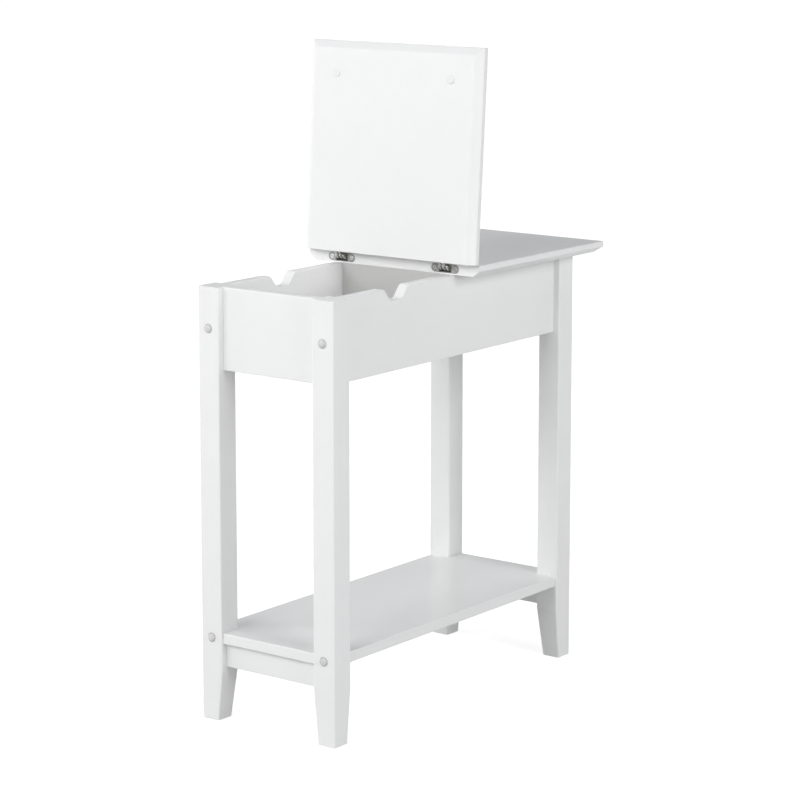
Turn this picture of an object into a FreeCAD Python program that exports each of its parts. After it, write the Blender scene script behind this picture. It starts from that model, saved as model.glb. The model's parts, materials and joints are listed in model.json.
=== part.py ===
import FreeCAD, Part
import math
import os

# Narrow end table with a flip-up lid over a storage compartment. Millimetres, +Z up.
# +X is the right side, -Y the front (compartment end), the floor is z = 0.
# The origin is the middle of the table's box on the floor, with the lid standing open.

Vector = FreeCAD.Vector
X_AXIS = Vector(1, 0, 0)
Y_AXIS = Vector(0, 1, 0)
Z_AXIS = Vector(0, 0, 1)

# ---- top and lid
overall_height = 610.0
top_width = 292.0
top_thickness = 16.0
top_band = 8.0               # square part of the edge, above the undercut
top_undercut = 10.5          # how far the undercut reaches in under the edge
top_edge_round = 1.5
undercut_round = 1.0
cut_edge_round = 0.4
lid_length = 291.0
fixed_length = 306.0
seam_from_front = 276.5      # middle of the seam, from the front faces of the legs
seam_gap = 1.0
lid_open_angle = 94.0        # how far the lid stands open

# ---- legs
frame_width = 228.0          # over the outer faces of the legs
frame_length = 554.0
leg_size = 35.0
leg_corner_round = 2.0
leg_top_round = 1.0
foot_size = 28.0
foot_taper_height = 72.0
foot_chamfer = 1.0

# ---- box under the top
panel_thickness = 15.0
panel_height = 112.0
panel_recess = 10.0          # behind the outer faces of the legs
panel_top_round = 2.0
panel_bottom_round = 1.0
divider_setback = 1.0        # behind the cut edge of the fixed top
bottom_thickness = 5.0
bottom_lift = 8.0            # from the panels' lower edge to the bottom board
groove_depth = 5.0
groove_clearance = 0.15
bottom_leg_gap = 0.5

# ---- finger notch in each side panel
notch_from_front = 147.5     # middle of the notch, from the front faces of the legs
notch_top_width = 54.0
notch_floor_width = 24.0
notch_depth = 17.5
notch_floor_round = 8.5
notch_lip_round = 8.0

# ---- shelf and its rails
shelf_top = 123.0
shelf_thickness = 15.0
shelf_inset = 3.0            # behind the outer faces of the legs
shelf_edge_round = 1.5
shelf_leg_gap = 0.3
rail_height = 33.0
rail_thickness = 15.0
rail_recess = 10.0
rail_round = 1.0

# ---- bolts, barrel nuts and caps
bolt_radius = 3.0
bolt_past_nut = 3.0
bolt_head_radius = 5.0
bolt_head_height = 5.0
bolt_socket_size = 4.0       # across the flats of the hexagon socket
bolt_socket_depth = 3.0
bolt_recess_depth = 10.0     # from the leg's face to the seat of the head
bolt_hole_clearance = 0.2
bolt_recess_clearance = 0.5
bolt_tip_room = 2.0
nut_radius = 5.0
nut_wall = 1.5               # wood left over the end of a nut
nut_from_end = 27.0          # from the end of the panel or shelf to the nut's axis
nut_clearance = 0.1
nut_slot_width = 1.2
nut_slot_depth = 1.0
thread_clearance = 0.05
cap_radius = 6.5
cap_rim = 0.8
cap_dome = 1.7               # dome height above the rim
cap_dome_radius = 5.4
cap_plug_length = 2.6
cap_plug_clearance = 0.1

# ---- dowels
dowel_radius = 4.0
dowel_length = 30.0
dowel_chamfer = 0.8
dowel_clearance = 0.05
dowel_end_room = 1.0
end_panel_dowel_spread = 72.0
side_panel_dowel_spread = 44.0
rail_dowel_spread = 16.0
divider_dowel_spread = 64.0
divider_dowel_length = 24.0
divider_dowel_wall = 5.0     # wood left over the end of a dowel hole in a side panel

# ---- cleats under the fixed top
cleat_size = 18.0
cleat_length = 190.0
cleat_rear_gap = 14.0        # from the rear panel to the cleat
cleat_screw_length = 28.0
cleat_screw_radius = 2.0
cleat_screw_head_radius = 3.8
cleat_screw_count = 3
cleat_screw_pitch = 70.0
cleat_screw_stagger = 25.0   # between the sideways screws and the upright ones

# ---- screws
screw_clearance = 0.05
screw_tip_length = 3.0
screw_tip_share = 0.25       # radius at the tip's end, as a share of the shank's
screw_recess_depth = 1.2
screw_recess_width = 0.9
head_below_surface = 0.1

# ---- concealed hinges
hinge_from_side = 57.0       # from the sides of the top to the hinge's middle
leaf_length = 46.0
leaf_width = 12.0
leaf_below_top = 2.0         # from the top's surface to the leaf's upper edge
leaf_plate = 2.0
leaf_clearance = 0.1
cup_length = 24.0
cup_depth = 12.5
cup_end_wall = 2.0
cup_wall = 1.0
leaf_screw_spacing = 35.0
leaf_screw_radius = 1.6
leaf_screw_head_radius = 3.2
leaf_screw_length = 17.0
swing_axis_height = 0.4      # of the lid's swing axis above the top's surface
link_pin_depth = 3.1         # from the swing axis, into the leaf
link_pin_drop = 5.2          # below the swing axis
link_pin_radius = 0.75
link_pin_clearance = 0.05
link_length = 7.2            # from the pin to the crossing point of the links
link_closed_angle = 235.0    # of that line, from +Y towards +Z, with the lid closed
link_bend_along = 2.7
link_bend_across = 4.3
link_half_width = 1.4
link_plate = 2.6
link_pitch = 3.0             # from plate to plate across the hinge
fixed_link_layers = (-2, 0, 2)
lid_link_layers = (-1, 1)
link_turn_ratio = 0.58       # link angle per lid angle
rivet_radius = 0.8
rivet_proud = 0.5

# ---- lid bumpers
bumper_radius = 6.0
bumper_thickness = 1.5
bumper_round = 0.5
bumper_from_side = 16.5      # from the outer face of the leg that it lands on
bumper_from_end = 44.5       # from the outer end of the lid, so that it lands on that leg

cut_margin = 1.0             # how far a cutter runs past the face that it opens

# ---- places that follow from the sizes
half_width = frame_width / 2
leg_top = overall_height - top_thickness
top_rear = seam_from_front + seam_gap / 2 + fixed_length
cap_proud = cap_rim + cap_dome
front_face = -(top_rear - cap_proud) / 2
rear_face = front_face + frame_length
seam = front_face + seam_from_front
fixed_cut = seam + seam_gap / 2
lid_cut = seam - seam_gap / 2
leg_inner_x = half_width - leg_size
leg_front_inner = front_face + leg_size
leg_rear_inner = rear_face - leg_size
leg_middle_x = half_width - leg_size / 2
panel_outer_x = half_width - panel_recess
panel_inner_x = panel_outer_x - panel_thickness
panel_middle_x = panel_outer_x - panel_thickness / 2
panel_bottom = leg_top - panel_height
panel_middle_z = leg_top - panel_height / 2
front_panel_inner = front_face + panel_recess + panel_thickness
rear_panel_inner = rear_face - panel_recess - panel_thickness
divider_front = fixed_cut + divider_setback
divider_rear = divider_front + panel_thickness
bottom_low = panel_bottom + bottom_lift
shelf_low = shelf_top - shelf_thickness
shelf_middle_z = shelf_top - shelf_thickness / 2
hinge_middle_x = top_width / 2 - hinge_from_side
leaf_middle_z = overall_height - leaf_below_top - leaf_width / 2
nut_length = min(panel_thickness, shelf_thickness) - 2 * nut_wall
bolt_length = leg_size - bolt_recess_depth + nut_from_end + nut_radius + bolt_past_nut
swing_axis = Vector(0, seam, overall_height + swing_axis_height)
SIDES = (-1, 1)
HEXAGON = 6


def box(x0, x1, y0, y1, z0, z1):
    low = Vector(min(x0, x1), min(y0, y1), min(z0, z1))
    return Part.makeBox(abs(x1 - x0), abs(y1 - y0), abs(z1 - z0), low)


def rod(radius, start, direction, length):
    return Part.makeCylinder(radius, length, start, direction)


def fuse_all(shapes):
    joined = shapes[0].multiFuse(shapes[1:]) if len(shapes) > 1 else shapes[0]
    return joined.removeSplitter()


def outline(corners):
    """Closed wire through (point, radius) corners, each corner rounded to its radius."""
    edges = []
    count = len(corners)
    trims = []
    for i, (point, radius) in enumerate(corners):
        before = (corners[i - 1][0] - point).normalize()
        after = (corners[(i + 1) % count][0] - point).normalize()
        half_turn = before.getAngle(after) / 2
        reach = radius / math.tan(half_turn)
        start = point + before * reach
        end = point + after * reach
        middle_way = (before + after).normalize()
        middle = point + middle_way * (radius / math.sin(half_turn) - radius)
        trims.append((start, middle, end, radius))
    for i, (start, middle, end, radius) in enumerate(trims):
        if radius > 0:
            edges.append(Part.Arc(start, middle, end).toShape())
        edges.append(Part.LineSegment(end, trims[(i + 1) % count][0]).toShape())
    return Part.Wire(edges)


def prism(corners, direction):
    return Part.Face(outline(corners)).extrude(direction)


def ease(shape, radius, chosen):
    """Round the edges whose middle the test accepts."""
    edges = []
    for edge in shape.Edges:
        middle = edge.valueAt((edge.FirstParameter + edge.LastParameter) / 2)
        if chosen(middle, edge):
            edges.append(edge)
    return shape.makeFillet(radius, edges)


def near(a, b):
    return abs(a - b) < 1e-4


def rounded_square(x0, x1, y0, y1, z, radius):
    points = ((x0, y0), (x1, y0), (x1, y1), (x0, y1))
    return outline([(Vector(x, y, z), radius) for x, y in points])


# ---- top and lid

def top_board(cut_y, outer_y):
    """Board with an undercut edge on three sides and a square edge at cut_y."""
    low = overall_height - top_thickness
    shoulder = overall_height - top_band
    edge = top_width / 2
    inner = edge - top_undercut
    across = [(Vector(-edge, cut_y, overall_height), top_edge_round),
              (Vector(edge, cut_y, overall_height), top_edge_round),
              (Vector(edge, cut_y, shoulder), undercut_round),
              (Vector(inner, cut_y, low), undercut_round),
              (Vector(-inner, cut_y, low), undercut_round),
              (Vector(-edge, cut_y, shoulder), undercut_round)]
    toward_cut = 1 if cut_y > outer_y else -1
    inner_y = outer_y + toward_cut * top_undercut
    along = [(Vector(-edge, cut_y, overall_height), cut_edge_round),
             (Vector(-edge, outer_y, overall_height), top_edge_round),
             (Vector(-edge, outer_y, shoulder), undercut_round),
             (Vector(-edge, inner_y, low), undercut_round),
             (Vector(-edge, cut_y, low), cut_edge_round)]
    lengthways = prism(across, Vector(0, outer_y - cut_y, 0))
    return lengthways.common(prism(along, Vector(top_width, 0, 0)))


def stadium(middle_x, face_y, length, width, depth, inward):
    """Round-ended plate in the cut edge of a board, from face_y inward."""
    straight = length - width
    radius = width / 2
    block = box(middle_x - straight / 2, middle_x + straight / 2, face_y, face_y + inward * depth,
                leaf_middle_z - radius, leaf_middle_z + radius)
    ends = [rod(radius, Vector(middle_x + side * straight / 2, face_y, leaf_middle_z),
                Y_AXIS * inward, depth) for side in SIDES]
    return fuse_all([block] + ends)


def cup_block(middle_x, face_y, inward, room):
    """Outside of the hinge cup behind the leaf's plate, with room all round."""
    return box(middle_x - cup_length / 2 - room, middle_x + cup_length / 2 + room,
               face_y, face_y + inward * (cup_depth + room),
               leaf_middle_z - leaf_width / 2 - room, leaf_middle_z + leaf_width / 2 + room)


def leaf_mortise(middle_x, face_y, inward):
    plate = stadium(middle_x, face_y, leaf_length + 2 * leaf_clearance,
                    leaf_width + 2 * leaf_clearance, leaf_plate + leaf_clearance, inward)
    return plate.fuse(cup_block(middle_x, face_y, inward, leaf_clearance))


# ---- screws and dowels: each has a solid and a hole that is larger all round

def screw(head_middle, direction, length, radius, head_radius, room=0.0):
    """Countersunk wood screw, or its hole when room is more than 0."""
    head = Part.makeCone(head_radius + room, radius + room, head_radius - radius, head_middle, direction)
    shank_start = head_middle + direction * (head_radius - radius)
    shank_length = length - (head_radius - radius) - screw_tip_length
    shank = rod(radius + room, shank_start, direction, shank_length)
    tip_start = shank_start + direction * shank_length
    tip_radius = radius * screw_tip_share
    tip = Part.makeCone(radius + room, tip_radius + room, screw_tip_length + room, tip_start, direction)
    if room > 0:
        mouth = rod(head_radius + room, head_middle - direction * head_below_surface, direction,
                    head_below_surface)
        return fuse_all([head, shank, tip, mouth])
    body = fuse_all([head, shank, tip])
    side_way = X_AXIS if abs(direction.x) < abs(direction.z) + abs(direction.y) else Y_AXIS
    other_way = direction.cross(side_way)
    slot_length = head_radius
    for way, cross_way in ((side_way, other_way), (other_way, side_way)):
        corner = head_middle - way * (slot_length / 2) - cross_way * (screw_recess_width / 2)
        face = Part.Face(Part.makePolygon([corner, corner + way * slot_length,
                                           corner + way * slot_length + cross_way * screw_recess_width,
                                           corner + cross_way * screw_recess_width, corner]))
        body = body.cut(face.extrude(direction * screw_recess_depth))
    return body


def dowel(start, direction, length):
    pin = rod(dowel_radius, start, direction, length)
    return pin.makeChamfer(dowel_chamfer, [edge for edge in pin.Edges if not edge.isSeam(pin.Faces[0])])


def dowel_hole(start, direction, length):
    return rod(dowel_radius + dowel_clearance, start - direction * dowel_end_room, direction,
               length + 2 * dowel_end_room)


def place_dowels():
    """Start, direction and length of every dowel, by the joint that it serves."""
    half_dowel = dowel_length / 2
    places = {"end_panel": [], "side_panel": [], "rail": [], "divider": []}
    for side in SIDES:
        outward = X_AXIS * side
        for end_y in (front_face + panel_recess + panel_thickness / 2,
                      rear_face - panel_recess - panel_thickness / 2):
            for step in SIDES:
                z = panel_middle_z + step * end_panel_dowel_spread / 2
                start = Vector(side * (leg_inner_x - half_dowel), end_y, z)
                places["end_panel"].append((start, outward, dowel_length))
        for end_y in (front_face + rail_recess + rail_thickness / 2,
                      rear_face - rail_recess - rail_thickness / 2):
            for step in SIDES:
                z = shelf_low - rail_height / 2 + step * rail_dowel_spread / 2
                start = Vector(side * (leg_inner_x - half_dowel), end_y, z)
                places["rail"].append((start, outward, dowel_length))
        for joint_y, inward in ((leg_front_inner, 1), (leg_rear_inner, -1)):
            for step in SIDES:
                z = panel_middle_z + step * side_panel_dowel_spread / 2
                start = Vector(side * panel_middle_x, joint_y - inward * half_dowel, z)
                places["side_panel"].append((start, Y_AXIS * inward, dowel_length))
        for step in SIDES:
            z = panel_middle_z + step * divider_dowel_spread / 2
            reach = panel_outer_x - divider_dowel_wall - dowel_end_room
            start = Vector(side * (reach - divider_dowel_length), divider_front + panel_thickness / 2, z)
            places["divider"].append((start, outward, divider_dowel_length))
    return places


dowel_places = place_dowels()


def drill_dowels(shape, *joints):
    for joint in joints:
        for start, direction, length in dowel_places[joint]:
            shape = shape.cut(dowel_hole(start, direction, length))
    return shape


def dowel_group(joint):
    return Part.Compound([dowel(*place) for place in dowel_places[joint]])


# ---- bolts, barrel nuts and caps

def bolt_places():
    """Leg face, direction into the table, nut direction and joint face of every bolt."""
    places = []
    for side in SIDES:
        for face_y, joint_y, inward in ((front_face, leg_front_inner, 1), (rear_face, leg_rear_inner, -1)):
            upper = Vector(side * panel_middle_x, face_y, panel_middle_z)
            lower = Vector(side * leg_middle_x, face_y, shelf_middle_z)
            places.append((upper, Y_AXIS * inward, X_AXIS * side, joint_y))
            places.append((lower, Y_AXIS * inward, Z_AXIS, joint_y))
    return places


def bolt(face_point, inward):
    seat = face_point + inward * bolt_recess_depth
    shank = rod(bolt_radius, seat, inward, bolt_length)
    head = rod(bolt_head_radius, seat - inward * bolt_head_height, inward, bolt_head_height)
    socket_radius = bolt_socket_size / math.sqrt(3)
    top = seat - inward * bolt_head_height
    corners = []
    for i in range(HEXAGON + 1):
        turn = 2 * math.pi * i / HEXAGON
        spoke = X_AXIS * math.cos(turn) + Z_AXIS * math.sin(turn)
        corners.append(top + spoke * socket_radius)
    socket = Part.Face(Part.makePolygon(corners)).extrude(inward * bolt_socket_depth)
    return fuse_all([shank, head]).cut(socket)


def bolt_hole(face_point, inward):
    recess = rod(bolt_head_radius + bolt_recess_clearance, face_point, inward, bolt_recess_depth)
    hole = rod(bolt_radius + bolt_hole_clearance, face_point, inward,
               bolt_recess_depth + bolt_length + bolt_tip_room)
    return recess.fuse(hole)


def nut_middle(face_point, joint_y, inward):
    return Vector(face_point.x, joint_y + inward.y * nut_from_end, face_point.z)


def barrel_nut(face_point, inward, nut_way, joint_y):
    """Cross-drilled barrel, pushed in against the end of its hole, with a turning slot."""
    middle = nut_middle(face_point, joint_y, inward)
    barrel = rod(nut_radius, middle - nut_way * (nut_length / 2), nut_way, nut_length)
    thread = rod(bolt_radius + thread_clearance, middle - inward * (2 * nut_radius), inward, 4 * nut_radius)
    slot_middle = middle - nut_way * (nut_length / 2)
    across = inward * (nut_radius * 2)
    width = inward.cross(nut_way) * nut_slot_width
    corner = slot_middle - across / 2 - width / 2
    slot = Part.Face(Part.makePolygon([corner, corner + across, corner + across + width,
                                       corner + width, corner])).extrude(nut_way * nut_slot_depth)
    return barrel.cut(thread).cut(slot)


def nut_hole(face_point, inward, nut_way, joint_y):
    """Hole for a barrel nut, open towards the inside or the underside."""
    middle = nut_middle(face_point, joint_y, inward)
    mouth = max(panel_thickness, shelf_thickness) / 2 + cut_margin
    depth = nut_length / 2 + nut_clearance
    return rod(nut_radius + nut_clearance, middle - nut_way * mouth, nut_way, mouth + depth)


def bolt_cap(face_point, inward):
    outward = inward * -1
    rim = rod(cap_radius, face_point, outward, cap_rim)
    ball_radius = (cap_dome_radius ** 2 + cap_dome ** 2) / (2 * cap_dome)
    rim_top = face_point + outward * cap_rim
    ball_middle = rim_top + outward * (cap_dome - ball_radius)
    dome = Part.makeSphere(ball_radius, ball_middle)
    dome = dome.common(rod(cap_dome_radius, rim_top, outward, ball_radius))
    plug_radius = bolt_head_radius + bolt_recess_clearance - cap_plug_clearance
    plug = rod(plug_radius, face_point, inward, cap_plug_length)
    return fuse_all([rim, dome, plug])


bolts = bolt_places()


def drill_bolts(shape, nuts):
    for face_point, inward, nut_way, joint_y in bolts:
        shape = shape.cut(bolt_hole(face_point, inward))
        if nuts:
            shape = shape.cut(nut_hole(face_point, inward, nut_way, joint_y))
    return shape


# ---- wooden parts

def leg(side, end):
    """Square leg, side -1 left or 1 right, end -1 front or 1 rear; the foot tapers on its inner faces."""
    outer_x = side * half_width
    outer_y = front_face if end < 0 else rear_face

    def section(size, z, inset=0.0):
        x = sorted((outer_x - side * inset, outer_x - side * (size - inset)))
        y = sorted((outer_y - end * inset, outer_y - end * (size - inset)))
        return rounded_square(x[0], x[1], y[0], y[1], z, leg_corner_round)

    post = Part.Face(section(leg_size, foot_taper_height)).extrude(Z_AXIS * (leg_top - foot_taper_height))
    foot = section(foot_size, foot_chamfer)
    taper = Part.makeLoft([foot, section(leg_size, foot_taper_height)], True, True)
    sole = Part.makeLoft([section(foot_size, 0.0, foot_chamfer), foot], True, True)
    post = ease(post, leg_top_round, lambda middle, edge: near(middle.z, leg_top))
    shape = fuse_all([post, taper, sole])
    shape = drill_bolts(shape, False)
    return drill_dowels(shape, "end_panel", "side_panel", "rail")


def end_panel(end):
    """Panel between two legs at the front (-1) or rear (1)."""
    outer = front_face + panel_recess if end < 0 else rear_face - panel_recess
    inner = outer - end * panel_thickness
    corners = [(Vector(-leg_inner_x, outer, leg_top), panel_top_round),
               (Vector(-leg_inner_x, inner, leg_top), panel_top_round),
               (Vector(-leg_inner_x, inner, panel_bottom), panel_bottom_round),
               (Vector(-leg_inner_x, outer, panel_bottom), panel_bottom_round)]
    shape = prism(corners, X_AXIS * (2 * leg_inner_x))
    if end < 0:
        shape = shape.cut(bottom_board(groove_clearance))
    return drill_dowels(shape, "end_panel")


def notch_cutter():
    """Trapezium with rounded corners, through both side panels, flared at its lips."""
    middle = front_face + notch_from_front
    floor = leg_top - notch_depth
    half_top = notch_top_width / 2
    half_floor = notch_floor_width / 2
    slope = (half_top - half_floor) / notch_depth
    x = -frame_width / 2
    rise = notch_depth
    half_sky = half_top + slope * rise
    throat = prism([(Vector(x, middle - half_sky, leg_top + rise), 0),
                    (Vector(x, middle - half_floor, floor), notch_floor_round),
                    (Vector(x, middle + half_floor, floor), notch_floor_round),
                    (Vector(x, middle + half_sky, leg_top + rise), 0)], X_AXIS * frame_width)
    lip_turn = math.atan2(notch_depth, half_top - half_floor)
    lip_reach = notch_lip_round * math.tan(lip_turn / 2)
    cutters = [throat]
    for side in SIDES:
        lip = Vector(x, middle + side * half_top, leg_top)
        level_end = lip + Vector(0, side * lip_reach, 0)
        slope_end = lip + Vector(0, -side * math.cos(lip_turn), -math.sin(lip_turn)) * lip_reach
        ball = level_end - Z_AXIS * notch_lip_round
        kite = Part.Face(Part.makePolygon([lip, level_end, ball, slope_end, lip]))
        corner = kite.extrude(X_AXIS * frame_width)
        cutters.append(corner.cut(rod(notch_lip_round, ball, X_AXIS, frame_width)))
    return cutters


def side_panel(side):
    corners = [(Vector(side * panel_outer_x, leg_front_inner, leg_top), panel_top_round),
               (Vector(side * panel_inner_x, leg_front_inner, leg_top), panel_top_round),
               (Vector(side * panel_inner_x, leg_front_inner, panel_bottom), panel_bottom_round),
               (Vector(side * panel_outer_x, leg_front_inner, panel_bottom), panel_bottom_round)]
    shape = prism(corners, Y_AXIS * (leg_rear_inner - leg_front_inner))
    for cutter in notch_cutter():
        shape = shape.cut(cutter)
    shape = shape.cut(bottom_board(groove_clearance))
    for solid in cleat_screws(side, screw_clearance):
        shape = shape.cut(solid)
    shape = drill_bolts(shape, True)
    return drill_dowels(shape, "side_panel", "divider")


def bottom_board(room=0.0):
    """Bottom of the compartment, or the space of its grooves when room is more than 0."""
    tongue = groove_depth - groove_clearance
    x = panel_inner_x + tongue + room
    y0 = front_panel_inner - tongue - room
    y1 = divider_front + tongue + room
    board = box(-x, x, y0, y1, bottom_low - room, bottom_low + bottom_thickness + room)
    if room > 0:
        return board
    for side in SIDES:
        corner = box(side * (leg_inner_x - bottom_leg_gap), side * frame_width, y0,
                     leg_front_inner + bottom_leg_gap, 0, overall_height)
        board = board.cut(corner)
    return board


def divider():
    corners = [(Vector(-panel_inner_x, divider_front, leg_top), panel_bottom_round),
               (Vector(-panel_inner_x, divider_rear, leg_top), panel_bottom_round),
               (Vector(-panel_inner_x, divider_rear, panel_bottom), panel_bottom_round),
               (Vector(-panel_inner_x, divider_front, panel_bottom), panel_bottom_round)]
    shape = prism(corners, X_AXIS * (2 * panel_inner_x))
    shape = shape.cut(bottom_board(groove_clearance))
    return drill_dowels(shape, "divider")


def shelf():
    x = half_width - shelf_inset
    y0 = front_face + shelf_inset
    y1 = rear_face - shelf_inset
    shape = box(-x, x, y0, y1, shelf_low, shelf_top)
    for side in SIDES:
        for end_y, joint_y in ((front_face, leg_front_inner), (rear_face, leg_rear_inner)):
            shape = shape.cut(box(side * (leg_inner_x - shelf_leg_gap), side * frame_width,
                                  end_y, joint_y, 0, overall_height))

    def outer_edge(middle, edge):
        on_side = near(abs(middle.x), x)
        on_end = near(middle.y, y0) or near(middle.y, y1)
        return (on_side or on_end) and (near(middle.z, shelf_low) or near(middle.z, shelf_top))

    shape = ease(shape, shelf_edge_round, outer_edge)
    return drill_bolts(shape, True)


def shelf_rail(end):
    outer = front_face + rail_recess if end < 0 else rear_face - rail_recess
    inner = outer - end * rail_thickness
    low = shelf_low - rail_height
    corners = [(Vector(-leg_inner_x, outer, shelf_low), 0),
               (Vector(-leg_inner_x, inner, shelf_low), 0),
               (Vector(-leg_inner_x, inner, low), rail_round),
               (Vector(-leg_inner_x, outer, low), rail_round)]
    return drill_dowels(prism(corners, X_AXIS * (2 * leg_inner_x)), "rail")


# ---- cleats that hold the fixed top

def cleat_screws(side, room=0.0):
    """Screws of one cleat, or their holes: sideways into the panel and upright into the top."""
    cleat_rear = rear_panel_inner - cleat_rear_gap
    middle_y = cleat_rear - cleat_length / 2
    inner_x = side * (panel_inner_x - cleat_size)
    low = leg_top - cleat_size
    made = []
    for i in range(cleat_screw_count):
        y = middle_y + (i - (cleat_screw_count - 1) / 2) * cleat_screw_pitch
        sideways = Vector(inner_x + side * head_below_surface, y - cleat_screw_stagger / 2,
                          leg_top - cleat_size / 2)
        upright = Vector(side * (panel_inner_x - cleat_size / 2), y + cleat_screw_stagger / 2,
                         low + head_below_surface)
        for head_middle, direction in ((sideways, X_AXIS * side), (upright, Z_AXIS)):
            made.append(screw(head_middle, direction, cleat_screw_length, cleat_screw_radius,
                              cleat_screw_head_radius, room))
    return made


def cleat(side):
    cleat_rear = rear_panel_inner - cleat_rear_gap
    shape = box(side * (panel_inner_x - cleat_size), side * panel_inner_x,
                cleat_rear - cleat_length, cleat_rear, leg_top - cleat_size, leg_top)
    for solid in cleat_screws(side, screw_clearance):
        shape = shape.cut(solid)
    return shape


# ---- concealed hinges, made with the lid closed

def leaf_screws(middle_x, face_y, inward, room=0.0):
    made = []
    for side in SIDES:
        head = Vector(middle_x + side * leaf_screw_spacing / 2, face_y + inward * head_below_surface,
                      leaf_middle_z)
        made.append(screw(head, Y_AXIS * inward, leaf_screw_length, leaf_screw_radius,
                          leaf_screw_head_radius, room))
    return made


def link_pin_middle(middle_x, inward):
    return Vector(middle_x, seam + inward * link_pin_depth, swing_axis.z - link_pin_drop)


def link_pin(middle_x, inward):
    length = cup_length - cup_end_wall
    middle = link_pin_middle(middle_x, inward)
    return rod(link_pin_radius, middle - X_AXIS * (length / 2), X_AXIS, length)


def hinge_leaf(middle_x, face_y, inward):
    """Round-ended plate with a cup behind it, open at the face, drilled for its screws and pin."""
    plate = stadium(middle_x, face_y, leaf_length, leaf_width, leaf_plate, inward)
    shape = fuse_all([plate, cup_block(middle_x, face_y, inward, 0.0)])
    half_hollow = cup_length / 2 - cup_end_wall
    hollow = box(middle_x - half_hollow, middle_x + half_hollow, face_y,
                 face_y + inward * (cup_depth - cup_wall),
                 leaf_middle_z - leaf_width / 2 + cup_wall, leaf_middle_z + leaf_width / 2 - cup_wall)
    shape = shape.cut(hollow)
    for hole in leaf_screws(middle_x, face_y, inward, screw_clearance):
        shape = shape.cut(hole)
    return shape.cut(link_pin(middle_x, inward))


def link_plates(middle_x, inward, layers):
    """Bent link plates on one leaf's pin, lying in the given layers across the hinge."""
    angle = math.radians(link_closed_angle)
    along = Vector(0, math.cos(angle) * inward, math.sin(angle))
    across = Vector(0, -math.sin(angle) * inward, math.cos(angle))
    pin = link_pin_middle(middle_x, inward)
    bend = pin + along * link_bend_along + across * link_bend_across
    crossing = pin + along * link_length
    plates = []
    for layer in layers:
        low_x = X_AXIS * (layer * link_pitch - link_plate / 2)
        parts = []
        for a, b in ((pin, bend), (bend, crossing)):
            way = b - a
            sideways = X_AXIS.cross(way).normalize() * link_half_width
            corners = [a + sideways, b + sideways, b - sideways, a - sideways, a + sideways]
            strip = Part.Face(Part.makePolygon([corner + low_x for corner in corners]))
            parts.append(strip.extrude(X_AXIS * link_plate))
        for point in (pin, bend, crossing):
            parts.append(rod(link_half_width, point + low_x, X_AXIS, link_plate))
        if abs(layer) == max(fixed_link_layers):
            outward = X_AXIS * math.copysign(1, layer)
            rivet_start = crossing + X_AXIS * (layer * link_pitch)
            parts.append(rod(rivet_radius, rivet_start, outward, link_plate / 2 + rivet_proud))
        eye_start = pin + low_x - X_AXIS * cut_margin
        eye = rod(link_pin_radius + link_pin_clearance, eye_start, X_AXIS, link_plate + 2 * cut_margin)
        plates.append(fuse_all(parts).cut(eye))
    return plates


def lid_bumper(side):
    low = leg_top - bumper_thickness
    middle_y = lid_cut - lid_length + bumper_from_end
    middle = Vector(side * (half_width - bumper_from_side), middle_y, low)
    disc = rod(bumper_radius, middle, Z_AXIS, bumper_thickness)
    return ease(disc, bumper_round, lambda point, edge: near(point.z, low) and edge.Length > bumper_radius)


# ---- open the lid

def swing(shape, point, degrees):
    turned = shape.copy()
    turned.rotate(point, X_AXIS, degrees)
    return turned


def with_lid(shape):
    """Move a piece of the closed lid to where it stands open."""
    return swing(shape, swing_axis, -lid_open_angle)


def fixed_links(middle_x):
    """Links on the fixed leaf's pin, turned by their share of the lid's angle."""
    plates = link_plates(middle_x, 1, fixed_link_layers)
    pin = link_pin_middle(middle_x, 1)
    return Part.Compound([swing(plate, pin, -lid_open_angle * link_turn_ratio) for plate in plates])


def lid_links(middle_x):
    """Links on the lid leaf's pin, turned back by their share and carried with the lid."""
    plates = link_plates(middle_x, -1, lid_link_layers)
    pin = link_pin_middle(middle_x, -1)
    turned = [swing(plate, pin, lid_open_angle * link_turn_ratio) for plate in plates]
    return Part.Compound([with_lid(plate) for plate in turned])


def hinge_board(cut_y, outer_y):
    """Top board with the mortises and screw holes of both hinges."""
    inward = 1 if outer_y > cut_y else -1
    shape = top_board(cut_y, outer_y)
    for side in SIDES:
        middle_x = side * hinge_middle_x
        shape = shape.cut(leaf_mortise(middle_x, cut_y, inward))
        for hole in leaf_screws(middle_x, cut_y, inward, screw_clearance):
            shape = shape.cut(hole)
    return shape


def fixed_top():
    shape = hinge_board(fixed_cut, front_face + top_rear)
    for side in SIDES:
        for hole in cleat_screws(side, screw_clearance):
            shape = shape.cut(hole)
    return shape


def lid():
    return with_lid(hinge_board(lid_cut, lid_cut - lid_length))


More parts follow.
